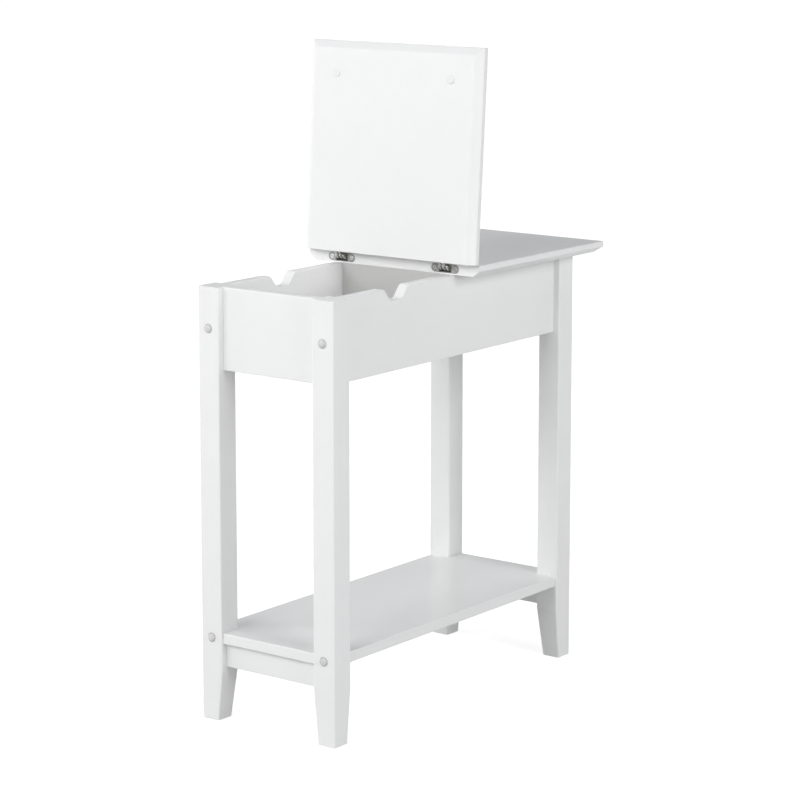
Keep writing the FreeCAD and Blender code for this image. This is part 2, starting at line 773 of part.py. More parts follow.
def build():
    nodes = {}
    side_names = {-1: "left", 1: "right"}
    end_names = {-1: "front", 1: "rear"}
    for end in SIDES:
        for side in SIDES:
            nodes["leg_%s_%s" % (end_names[end], side_names[side])] = leg(side, end)
        nodes["%s_panel" % end_names[end]] = end_panel(end)
        nodes["shelf_rail_%s" % end_names[end]] = shelf_rail(end)
    for side in SIDES:
        name = side_names[side]
        middle_x = side * hinge_middle_x
        nodes["side_panel_" + name] = side_panel(side)
        nodes["top_cleat_" + name] = cleat(side)
        nodes["hinge_leaf_fixed_" + name] = hinge_leaf(middle_x, fixed_cut, 1)
        nodes["hinge_leaf_lid_" + name] = with_lid(hinge_leaf(middle_x, lid_cut, -1))
        nodes["hinge_links_fixed_" + name] = fixed_links(middle_x)
        nodes["hinge_links_lid_" + name] = lid_links(middle_x)
    nodes["divider_panel"] = divider()
    nodes["compartment_bottom"] = bottom_board()
    nodes["shelf"] = shelf()
    nodes["fixed_top"] = fixed_top()
    nodes["lid"] = lid()
    nodes["frame_bolts"] = Part.Compound([bolt(place[0], place[1]) for place in bolts])
    nodes["barrel_nuts"] = Part.Compound([barrel_nut(*place) for place in bolts])
    nodes["bolt_caps"] = Part.Compound([bolt_cap(place[0], place[1]) for place in bolts])
    nodes["end_panel_dowels"] = dowel_group("end_panel")
    nodes["side_panel_dowels"] = dowel_group("side_panel")
    nodes["rail_dowels"] = dowel_group("rail")
    nodes["divider_dowels"] = dowel_group("divider")
    nodes["cleat_screws"] = Part.Compound(cleat_screws(-1) + cleat_screws(1))
    hinge_middles = [side * hinge_middle_x for side in SIDES]
    nodes["hinge_pins_fixed"] = Part.Compound([link_pin(x, 1) for x in hinge_middles])
    nodes["hinge_pins_lid"] = Part.Compound([with_lid(link_pin(x, -1)) for x in hinge_middles])
    fixed_screws = []
    lid_screws = []
    for x in hinge_middles:
        fixed_screws += leaf_screws(x, fixed_cut, 1)
        lid_screws += [with_lid(made) for made in leaf_screws(x, lid_cut, -1)]
    nodes["hinge_screws_fixed"] = Part.Compound(fixed_screws)
    nodes["hinge_screws_lid"] = Part.Compound(lid_screws)
    nodes["lid_bumpers"] = Part.Compound([with_lid(lid_bumper(side)) for side in SIDES])
    return nodes


os.makedirs("parts", exist_ok=True)
for name, shape in build().items():
    shape.exportStep("parts/%s.step" % name)
    print("%-26s solids %2d  volume %10.1f" % (name, len(shape.Solids), shape.Volume))
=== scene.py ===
import json
import math

import bmesh
import bpy
from mathutils import Matrix, Vector

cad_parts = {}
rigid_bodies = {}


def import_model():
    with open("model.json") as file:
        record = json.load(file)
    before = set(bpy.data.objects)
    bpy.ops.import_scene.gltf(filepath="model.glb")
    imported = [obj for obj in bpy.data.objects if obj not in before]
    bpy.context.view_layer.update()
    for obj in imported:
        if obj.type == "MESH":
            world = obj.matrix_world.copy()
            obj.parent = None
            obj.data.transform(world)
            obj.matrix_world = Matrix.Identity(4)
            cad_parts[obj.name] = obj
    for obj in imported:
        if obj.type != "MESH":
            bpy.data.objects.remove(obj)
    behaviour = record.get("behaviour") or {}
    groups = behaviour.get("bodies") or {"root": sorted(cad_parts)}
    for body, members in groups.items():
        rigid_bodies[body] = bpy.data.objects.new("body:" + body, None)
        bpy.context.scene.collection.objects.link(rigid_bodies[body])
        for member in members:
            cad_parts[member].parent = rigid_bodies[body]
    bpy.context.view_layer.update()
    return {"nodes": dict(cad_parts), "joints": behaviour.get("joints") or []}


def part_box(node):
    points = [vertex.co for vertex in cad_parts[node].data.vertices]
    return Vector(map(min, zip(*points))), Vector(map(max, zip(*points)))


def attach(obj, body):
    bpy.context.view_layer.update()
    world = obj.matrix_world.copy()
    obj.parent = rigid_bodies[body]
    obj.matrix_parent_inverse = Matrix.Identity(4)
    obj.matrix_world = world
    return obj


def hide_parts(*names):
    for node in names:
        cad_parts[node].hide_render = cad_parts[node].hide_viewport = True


# Narrow white end table with a flip-up lid: paint, hinge metal, screws, caps and bumpers
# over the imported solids, then a pale floor, soft light and the camera. Metres, +Z up.

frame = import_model()
nodes = frame["nodes"]
joints = {joint["name"]: joint for joint in frame["joints"]}

MM = 0.001
SIDES = ("left", "right")
Y_AXIS, Z_AXIS = Vector((0, 1, 0)), Vector((0, 0, 1))
QUARTER_TURN = math.pi / 2

# ---- finishes, in linear colour
WHITE_PAINT = (0.865, 0.865, 0.86)
THIN_PAINT = (0.84, 0.84, 0.832)
# painted shade: the divider inside the compartment gets a darker grey than the white paint, for the shade
# that falls there
SHADED_INSIDE_PAINT = (0.53, 0.53, 0.52)
SHADED_INSIDE_THIN = (0.5035, 0.5035, 0.494)
# painted highlight: lighter paint along the boards' edges
EDGE_HIGHLIGHT_PAINT = (0.94, 0.94, 0.935)
BARE_BEECH = (0.60, 0.42, 0.25)
BEECH_RAY = (0.44, 0.27, 0.14)
SATIN_NICKEL = (0.42, 0.42, 0.41)
CAST_SHADE = (0.30, 0.30, 0.29)
# painted shade: darkens the hinge leaves' edges, for the shadow in the gap around them
LEAF_EDGE_SHADE = (0.07, 0.07, 0.065)
LINK_STEEL = (0.82, 0.82, 0.80)
OIL_FILM = (0.56, 0.555, 0.53)
DULL_ZINC = (0.34, 0.34, 0.33)
BRIGHT_ZINC = (0.78, 0.78, 0.77)
ZINC_HAZE = (0.46, 0.46, 0.45)
CAP_WHITE = (0.70, 0.70, 0.69)
CAP_SHADE = (0.60, 0.60, 0.59)
# painted shade: a dark ring along the caps' edges
CAP_EDGE_SHADE = (0.20, 0.20, 0.195)
BUMPER_GREY = (0.84, 0.84, 0.83)
BUMPER_DUST = (0.79, 0.79, 0.78)

# ---- textures: noise counts per metre, with the count along the grain first
GRAIN_WANDER = (3.0, 9.0, 9.0)
WANDER_REACH = (0.0, 12 * MM, 12 * MM)
GRAIN_LINES = (5.0, 420.0, 420.0)
GRAIN_BANDS = (1.6, 55.0, 55.0)
BAND_SHARE = 0.6
PEEL_COUNT = 520.0
PATCH_COUNT = 14.0
PLATING_CLOUDS = 260.0
SCRATCHES = (2600.0, 240.0, 900.0)
SPARK_COUNT = 2600.0
PLASTIC_CLOUDS = 210.0
PLASTIC_UNEVEN = 0.05
BEECH_RAYS = (90.0, 900.0, 900.0)
BEECH_BANDS = (12.0, 160.0, 160.0)
BEECH_ROUGHNESS = (0.55, 0.7)
# where two noises are mixed, the share of the one that is named
LINE_TINT = 0.45
CLOUD_TINT = 0.7
CAST_HEIGHT = 0.7
RAY_TINT = 0.6
# parts of a noise's range: where most of its values lie, nearly all of them, and the peaks
MOST, NEARLY_ALL = (0.3, 0.7), (0.25, 0.75)
LINE_PEAKS, RAY_PEAKS, SCRATCH_PEAKS = (0.35, 0.75), (0.45, 0.7), (0.45, 0.6)
CAST_RANGE = (0.2, 0.8)

# ---- broken and rounded edges, and the colour along them: a painted highlight on the boards, painted shade on the hinge leaves and caps
BEVEL_SAMPLES = 6
# at a full edge, the dot product of the rounded and the flat normal is this far below 1
FULL_EDGE = 0.04
PAINT_BUMP = 0.05 * MM
PAINT_EDGE_REACH = 1.2 * MM
PAINT_HIGHLIGHT_SHARE = 0.6
BEECH_BUMP = 0.05 * MM
BEECH_EDGE_REACH = 0.4 * MM
BEECH_EDGE_SHARE = 0.4
LEAF_EASE = 0.2 * MM
LINK_EASE = 0.25 * MM
EASE_SEGMENTS = 2
SAME_POINT = 0.002 * MM
SAME_PLANE = math.radians(1.0)
EASED_ANGLE = math.radians(40.0)
HINGE_SMOOTH = math.radians(32.0)
FITTING_SMOOTH = math.radians(30.0)

# ---- fittings
CAP_RADIUS = 6.5 * MM
CAP_PROUD = 2.45 * MM
CAP_PLUG = 2.5 * MM
CAP_SEGMENTS = 48
LEAF_SCREW_SPACING = 35.0 * MM
SCREW_HEAD_RADIUS = 3.2 * MM
SCREW_HEAD_HEIGHT = 1.6 * MM
SCREW_LENGTH = 17.0 * MM
SCREW_SINK = 0.1 * MM
SCREW_SEGMENTS = 36
RECESS_LENGTH = 3.4 * MM
RECESS_WIDTH = 0.95 * MM
RECESS_DEPTH = 1.3 * MM
BUMPER_RADIUS = 6.0 * MM
BUMPER_THICKNESS = 1.5 * MM
BUMPER_SEGMENTS = 40
LID_OPEN = math.radians(94.0)
TURN_SEED = 11
TURNED_SEAM = 0.0005 * MM

# ---- floor and surroundings
BACKGROUND_WHITE = (1.0, 1.0, 1.0)
WORLD_HORIZON = (0.62, 0.63, 0.66)
WORLD_ZENITH = (0.10, 0.105, 0.11)
WORLD_FADE = (0.0, 0.8)
MIRRORED_ZENITH = (0.285, 0.30, 0.33)
MIRRORED_FADE = (0.05, 0.45)
FLOOR_RADIUS = 45.0
FLOOR_SIDES = 96
FLOOR_GREY = 0.50
FLOOR_UNEVEN = 0.01
FLOOR_GRAIN = 30.0
FLOOR_GLOW_NEAR = 0.76
FLOOR_GLOW_FAR = 0.93
GLOW_SPREAD = (0.8, 4.0)

# ---- lamps: azimuth in degrees, where 0 is the front and 90 the right, then elevation, watts,
# and whether gloss mirrors the lamp
LAMPS = {
    "key_left": (-35, 32, 57.0, True),
    "key_front": (0, 27, 71.0, True),
    "left_fill": (-78, 8, 52.0, False),
    "right_fill": (82, 22, 90.0, False),
    "back_fill": (185, 10, 45.0, False),
}
LAMP_SIZE = 2.2
LAMP_DISTANCE = 4.5
LAMP_TARGET = Vector((0, 0, 0.4))

# ---- camera: place, degrees down and round, lens and sensor in millimetres, shift of the frame
CAMERA_SPOT = (2.3315, -3.0868, 1.1749)
CAMERA_DOWN = 9.934
CAMERA_ROUND = 37.035
CAMERA_LENS = 127.54
CAMERA_SENSOR = 36.0
CAMERA_SHIFT = -0.08
CAMERA_REACH = 200.0


# ---------------------------------------------------------------- shader nodes

def put(tree, kind, values=None, **settings):
    """Add a node, set its properties, and set or link its inputs."""
    node = tree.nodes.new(kind)
    for key, value in settings.items():
        setattr(node, key, value)
    for key, value in (values or {}).items():
        if isinstance(value, bpy.types.NodeSocket):
            tree.links.new(value, node.inputs[key])
        else:
            node.inputs[key].default_value = value
    return node


def calc(tree, operation, first, second=0.0):
    return put(tree, "ShaderNodeMath", {0: first, 1: second}, operation=operation).outputs[0]


def spread(tree, value, low, high, to_low=0.0, to_high=1.0):
    """Stretch the part of a value from low to high over a new range."""
    node = put(tree, "ShaderNodeMapRange", {"Value": value, "From Min": low, "From Max": high,
                                            "To Min": to_low, "To Max": to_high})
    return node.outputs["Result"]


def mixed(tree, first, second, share):
    """Share of the first value, and the rest of the second."""
    rest = calc(tree, "MULTIPLY", second, 1.0 - share)
    return calc(tree, "ADD", calc(tree, "MULTIPLY", first, share), rest)


def uneven(tree, mean, value, swing):
    """The mean, moved by up to half the swing either way as a value runs from 0 to 1."""
    return calc(tree, "ADD", mean, calc(tree, "MULTIPLY", calc(tree, "SUBTRACT", value, 0.5), swing))


def noise(tree, vector, scale=1.0, detail=2.0, roughness=0.5, output="Fac"):
    node = put(tree, "ShaderNodeTexNoise", {"Vector": vector, "Scale": scale, "Detail": detail,
                                            "Roughness": roughness})
    return node.outputs[output]


def vector_calc(tree, operation, first, second):
    return put(tree, "ShaderNodeVectorMath", {0: first, 1: second}, operation=operation)


def stretch(tree, vector, scale):
    return vector_calc(tree, "MULTIPLY", vector, scale).outputs[0]


def blend_colour(tree, share, first, second):
    """Colour between two; the Mix node takes the share at 0, colours at 6 and 7, and gives them at 2."""
    node = put(tree, "ShaderNodeMix", data_type="RGBA")
    for key, value in ((0, share), (6, first), (7, second)):
        if isinstance(value, bpy.types.NodeSocket):
            tree.links.new(value, node.inputs[key])
        elif key:
            node.inputs[key].default_value = (*value, 1.0)
        else:
            node.inputs[key].default_value = value
    return node.outputs[2]


def shader_group(name, inputs, outputs):
    """Empty group with named sockets; returns its tree, its input sockets and its output node."""
    tree = bpy.data.node_groups.new(name, "ShaderNodeTree")
    for label, kind, value in inputs:
        socket = tree.interface.new_socket(label, in_out="INPUT", socket_type="NodeSocket" + kind)
        if value is not None:
            socket.default_value = value
    for label, kind in outputs:
        tree.interface.new_socket(label, in_out="OUTPUT", socket_type="NodeSocket" + kind)
    return tree, tree.nodes.new("NodeGroupInput").outputs, tree.nodes.new("NodeGroupOutput")


SURFACE_OUTPUTS = [("Tint", "Float"), ("Height", "Float"), ("Roughness", "Float")]


def give(tree, result, **values):
    """Link what a group puts out."""
    for label, value in values.items():
        tree.links.new(value, result.inputs[label])


def make_paint_group():
    """Brushed-on semi-gloss paint over wood: faint grain lines, orange peel and patchy gloss."""
    tree, given, result = shader_group("painted_board", [
        ("Position", "Vector", None), ("Grain Lines", "Float", 0.5), ("Orange Peel", "Float", 0.4),
        ("Gloss Patches", "Float", 0.07), ("Mean Roughness", "Float", 0.34)], SURFACE_OUTPUTS)
    position, strength = given["Position"], given["Grain Lines"]
    wander = noise(tree, stretch(tree, position, GRAIN_WANDER), output="Color")
    path = vector_calc(tree, "ADD", position, stretch(tree, wander, WANDER_REACH)).outputs[0]
    lines = noise(tree, stretch(tree, path, GRAIN_LINES), detail=3.0, roughness=0.6)
    bands = noise(tree, stretch(tree, path, GRAIN_BANDS))
    peel = noise(tree, position, PEEL_COUNT, detail=1.0)
    patches = noise(tree, position, PATCH_COUNT, detail=3.0)
    line_height = calc(tree, "MULTIPLY", spread(tree, lines, *MOST), strength)
    peel_height = calc(tree, "MULTIPLY", spread(tree, peel, *NEARLY_ALL), given["Orange Peel"])
    band_strength = calc(tree, "MULTIPLY", strength, BAND_SHARE)
    band_height = calc(tree, "MULTIPLY", spread(tree, bands, *MOST), band_strength)
    height = calc(tree, "ADD", calc(tree, "ADD", line_height, peel_height), band_height)
    tint = mixed(tree, spread(tree, lines, *LINE_PEAKS), spread(tree, patches, *MOST), LINE_TINT)
    gloss = uneven(tree, given["Mean Roughness"], spread(tree, patches, *NEARLY_ALL),
                   given["Gloss Patches"])
    give(tree, result, Tint=tint, Height=height, Roughness=gloss)
    return tree


def make_edge_group():
    """Softened corners: the rounded normal, and a mask that is 1 where the surface turns."""
    tree, given, result = shader_group("rounded_edges", [
        ("Reach", "Float", 0.8 * MM), ("Sharpness", "Float", FULL_EDGE)],
        [("Normal", "Vector"), ("Edge", "Float")])
    rounded = put(tree, "ShaderNodeBevel", {"Radius": given["Reach"]}, samples=BEVEL_SAMPLES).outputs[0]
    flat = put(tree, "ShaderNodeNewGeometry").outputs["Normal"]
    alike = vector_calc(tree, "DOT_PRODUCT", rounded, flat).outputs["Value"]
    edge = spread(tree, calc(tree, "SUBTRACT", 1.0, alike), 0.0, given["Sharpness"])
    give(tree, result, Normal=rounded, Edge=edge)
    return tree


def make_metal_group():
    """Small metal parts: cast or drawn texture, handling marks and uneven plating."""
    tree, given, result = shader_group("plated_metal", [
        ("Position", "Vector", None), ("Texture Size", "Float", 0.6 * MM),
        ("Mean Roughness", "Float", 0.35), ("Marks", "Float", 0.2)], SURFACE_OUTPUTS)
    position = given["Position"]
    fine = noise(tree, position, calc(tree, "DIVIDE", 1.0, given["Texture Size"]), detail=3.0)
    cloud = noise(tree, position, PLATING_CLOUDS, detail=3.0)
    scratch = noise(tree, stretch(tree, position, SCRATCHES), detail=1.0)
    tint = mixed(tree, spread(tree, cloud, *MOST), spread(tree, fine, *MOST), CLOUD_TINT)
    cast = spread(tree, fine, *CAST_RANGE)
    height = mixed(tree, cast, spread(tree, scratch, *SCRATCH_PEAKS), CAST_HEIGHT)
    gloss = uneven(tree, given["Mean Roughness"], spread(tree, scratch, *MOST), given["Marks"])
    give(tree, result, Tint=tint, Height=height, Roughness=gloss)
    return tree


def make_moulding_group():
    """Moulded plastic: fine spark texture and slight unevenness of colour."""
    tree, given, result = shader_group("moulded_plastic", [
        ("Position", "Vector", None), ("Mean Roughness", "Float", 0.4)], SURFACE_OUTPUTS)
    grain = noise(tree, given["Position"], SPARK_COUNT)
    cloud = noise(tree, given["Position"], PLASTIC_CLOUDS)
    swing = spread(tree, cloud, *MOST, -PLASTIC_UNEVEN, PLASTIC_UNEVEN)
    give(tree, result, Tint=spread(tree, cloud, *MOST), Height=spread(tree, grain, *NEARLY_ALL),
         Roughness=calc(tree, "ADD", given["Mean Roughness"], swing))
    return tree


def make_beech_group():
    """Bare turned beech: short dark rays along the grain and fine pores."""
    tree, given, result = shader_group("bare_beech", [("Position", "Vector", None)], SURFACE_OUTPUTS)
    rays = noise(tree, stretch(tree, given["Position"], BEECH_RAYS), detail=3.0)
    broad = noise(tree, stretch(tree, given["Position"], BEECH_BANDS))
    tint = mixed(tree, spread(tree, rays, *RAY_PEAKS), spread(tree, broad, *MOST), RAY_TINT)
    give(tree, result, Tint=tint, Height=spread(tree, rays, *MOST),
         Roughness=spread(tree, broad, *MOST, *BEECH_ROUGHNESS))
    return tree


paint_group = make_paint_group()
edge_group = make_edge_group()
metal_group = make_metal_group()
moulding_group = make_moulding_group()
beech_group = make_beech_group()


# ---------------------------------------------------------------- materials

def finish_material(name, group, base, second, values, depth, edge_reach, edge_colour, edge_share,
                    turn=(0, 0, 0), shift=(0, 0, 0), metallic=0.0, ior=1.5):
    """Material whose colour, gloss and bump come from a group, with rounded edges and an edge colour
    blended in along them, which on the boards is a painted highlight and on the hinge leaves and caps
    painted shade.
    """
    material = bpy.data.materials.new(name)
    material.use_nodes = True
    tree = material.node_tree
    tree.nodes.clear()
    where = put(tree, "ShaderNodeTexCoord").outputs["Object"]
    where = put(tree, "ShaderNodeMapping", {"Vector": where, "Location": shift, "Rotation": turn})
    surface = put(tree, "ShaderNodeGroup", {"Position": where.outputs[0], **values},
                  node_tree=group).outputs
    edges = put(tree, "ShaderNodeGroup", {"Reach": edge_reach}, node_tree=edge_group).outputs
    colour = blend_colour(tree, surface["Tint"], base, second)
    colour = blend_colour(tree, calc(tree, "MULTIPLY", edges["Edge"], edge_share), colour, edge_colour)
    bump = put(tree, "ShaderNodeBump", {"Height": surface["Height"], "Normal": edges["Normal"],
                                        "Distance": depth})
    shader = put(tree, "ShaderNodeBsdfPrincipled", {
        "Base Color": colour, "Roughness": surface["Roughness"], "Normal": bump.outputs[0],
        "Metallic": metallic, "IOR": ior})
    put(tree, "ShaderNodeOutputMaterial", {"Surface": shader.outputs[0]})
    return material


GRAIN_ALONG = {"x": (0, 0, 0), "y": (0, 0, QUARTER_TURN), "z": (0, QUARTER_TURN, 0)}
# how the boards run: grain direction, shift of the pattern, strength of the grain lines, roughness
BOARDS = {
    "leg_paint": ("z", (0.0, 0.0, 0.0), 0.5, 0.34),
    "end_panel_paint": ("x", (0.31, 0.2, 0.1), 0.25, 0.34),
    "side_panel_paint": ("y", (0.7, 0.4, 0.9), 0.25, 0.34),
    "top_paint": ("y", (1.3, 0.8, 0.2), 0.5, 0.34),
    "lid_paint": ("z", (2.1, 1.4, 0.6), 0.25, 0.34),
    "shelf_paint": ("y", (2.9, 1.9, 1.1), 0.5, 0.225),
    "rail_paint": ("x", (3.7, 2.6, 1.7), 0.8, 0.34),
    "divider_paint": ("x", (4.4, 3.1, 2.3), 0.4, 0.34),
}
# boards whose colour is not the white paint: the divider's darker grey is painted shade inside the
# compartment
BOARD_COLOURS = {"divider_paint": (SHADED_INSIDE_PAINT, SHADED_INSIDE_THIN)}
# metal finishes: colour, second colour, texture size, roughness, marks, bump depth,
# then reach, colour and share of the edges
METALS = {
    # the leaf's edges are darkened with painted shade, for the shadow in the gap around it
    "leaf_zinc": (SATIN_NICKEL, CAST_SHADE, 0.7 * MM, 0.56, 0.16, 0.06 * MM, 0.7 * MM, LEAF_EDGE_SHADE, 0.9),
    "link_steel": (LINK_STEEL, OIL_FILM, 0.9 * MM, 0.50, 0.20, 0.04 * MM, 0.3 * MM, BRIGHT_ZINC, 0.6),
    "screw_steel": (BRIGHT_ZINC, ZINC_HAZE, 0.5 * MM, 0.26, 0.14, 0.02 * MM, 0.2 * MM, BRIGHT_ZINC, 0.5),
    "bolt_steel": (BRIGHT_ZINC, ZINC_HAZE, 0.8 * MM, 0.36, 0.20, 0.03 * MM, 0.3 * MM, BRIGHT_ZINC, 0.5),
    "nut_steel": (ZINC_HAZE, DULL_ZINC, 0.6 * MM, 0.38, 0.24, 0.03 * MM, 0.3 * MM, BRIGHT_ZINC, 0.5),
}
# plastics: colour, second colour, roughness, refraction, bump depth, then the same of the edges
PLASTICS = {
    # the cap's edges are darkened with painted shade
    "cap_plastic": (CAP_WHITE, CAP_SHADE, 0.33, 1.46, 0.01 * MM, 0.6 * MM, CAP_EDGE_SHADE, 0.9),
    "bumper_plastic": (BUMPER_GREY, BUMPER_DUST, 0.58, 1.42, 0.02 * MM, 0.3 * MM, BUMPER_DUST, 0.5),
}


def paint(name):
    along, shift, lines, gloss = BOARDS[name]
    base, thin = BOARD_COLOURS.get(name, (WHITE_PAINT, THIN_PAINT))
    # the edge colour here is a painted highlight along the boards' edges
    return finish_material(name, paint_group, base, thin, {"Grain Lines": lines, "Mean Roughness": gloss},
                           PAINT_BUMP, PAINT_EDGE_REACH, EDGE_HIGHLIGHT_PAINT, PAINT_HIGHLIGHT_SHARE,
                           turn=GRAIN_ALONG[along], shift=shift)


def metal(name):
    base, second, size, gloss, marks, depth, *edges = METALS[name]
    return finish_material(name, metal_group, base, second,
                           {"Texture Size": size, "Mean Roughness": gloss, "Marks": marks},
                           depth, *edges, metallic=1.0)


def plastic(name):
    base, second, gloss, ior, depth, *edges = PLASTICS[name]
    return finish_material(name, moulding_group, base, second, {"Mean Roughness": gloss},
                           depth, *edges, ior=ior)


def bare_beech(along):
    return finish_material("beech_along_" + along, beech_group, BARE_BEECH, BEECH_RAY, {}, BEECH_BUMP,
                           BEECH_EDGE_REACH, BEECH_RAY, BEECH_EDGE_SHARE, turn=GRAIN_ALONG[along])


paints = {name: paint(name) for name in BOARDS}
metals = {name: metal(name) for name in METALS}
plastics = {name: plastic(name) for name in PLASTICS}
beech = {along: bare_beech(along) for along in ("x", "y")}

# carried-over solids, by finish
NODES_IN_FINISH = (
    (paints["leg_paint"], ("leg_front_left", "leg_front_right", "leg_rear_left", "leg_rear_right")),
    (paints["end_panel_paint"], ("front_panel", "rear_panel")),
    (paints["side_panel_paint"], ("side_panel_left", "side_panel_right",
                                  "top_cleat_left", "top_cleat_right")),
    (paints["divider_paint"], ("divider_panel",)),
    (paints["shelf_paint"], ("shelf", "compartment_bottom")),
    (paints["top_paint"], ("fixed_top",)),
    (paints["lid_paint"], ("lid",)),
    (paints["rail_paint"], ("shelf_rail_front", "shelf_rail_rear")),
    (metals["screw_steel"], ("cleat_screws",)),
    (metals["bolt_steel"], ("frame_bolts",)),
    (metals["nut_steel"], ("barrel_nuts",)),
    (metals["link_steel"], ("hinge_pins_fixed", "hinge_pins_lid")),
    (beech["x"], ("end_panel_dowels", "rail_dowels", "divider_dowels")),
    (beech["y"], ("side_panel_dowels",)),
)
for finish, names in NODES_IN_FINISH:
    for node_name in names:
        for slot in nodes[node_name].material_slots:
            slot.material = finish


# ---------------------------------------------------------------- hinge hardware

def flatten(piece):
    """Turn a piece and its modifiers into one plain mesh."""
    graph = bpy.context.evaluated_depsgraph_get()
    graph.update()
    mesh = bpy.data.meshes.new_from_object(piece.evaluated_get(graph))
    piece.modifiers.clear()
    mesh.name = piece.name
    piece.data = mesh
    for face in mesh.polygons:
        face.use_smooth = True


def eased_copy(node_name, body, slot_name, width):
    """Copy of a solid with its sharp edges broken, which stands for it."""
    mesh = nodes[node_name].data.copy()
    mesh.name = node_name + "_eased"
    piece = bpy.data.objects.new(node_name + "_eased", mesh)
    bpy.context.scene.collection.objects.link(piece)
    shape = bmesh.new()
    shape.from_mesh(mesh)
    bmesh.ops.remove_doubles(shape, verts=shape.verts, dist=SAME_POINT)
    bmesh.ops.dissolve_limit(shape, angle_limit=SAME_PLANE, verts=shape.verts, edges=shape.edges)
    shape.to_mesh(mesh)
    shape.free()
    mesh.materials.clear()
    mesh.materials.append(metals[slot_name])
    bevel = piece.modifiers.new("broken edges", "BEVEL")
    bevel.width = width
    bevel.segments = EASE_SEGMENTS
    bevel.limit_method = "ANGLE"
    bevel.angle_limit = EASED_ANGLE
    bevel.use_clamp_overlap = True
    flatten(piece)
    piece.data.set_sharp_from_angle(angle=HINGE_SMOOTH)
    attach(piece, body)
    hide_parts(node_name)


for side in SIDES:
    eased_copy("hinge_leaf_fixed_" + side, "table", "leaf_zinc", LEAF_EASE)
    eased_copy("hinge_leaf_lid_" + side, "lid", "leaf_zinc", LEAF_EASE)
    eased_copy("hinge_links_fixed_" + side, "fixed_links", "link_steel", LINK_EASE)
    eased_copy("hinge_links_lid_" + side, "lid_links", "link_steel", LINK_EASE)


# ---------------------------------------------------------------- turned fittings

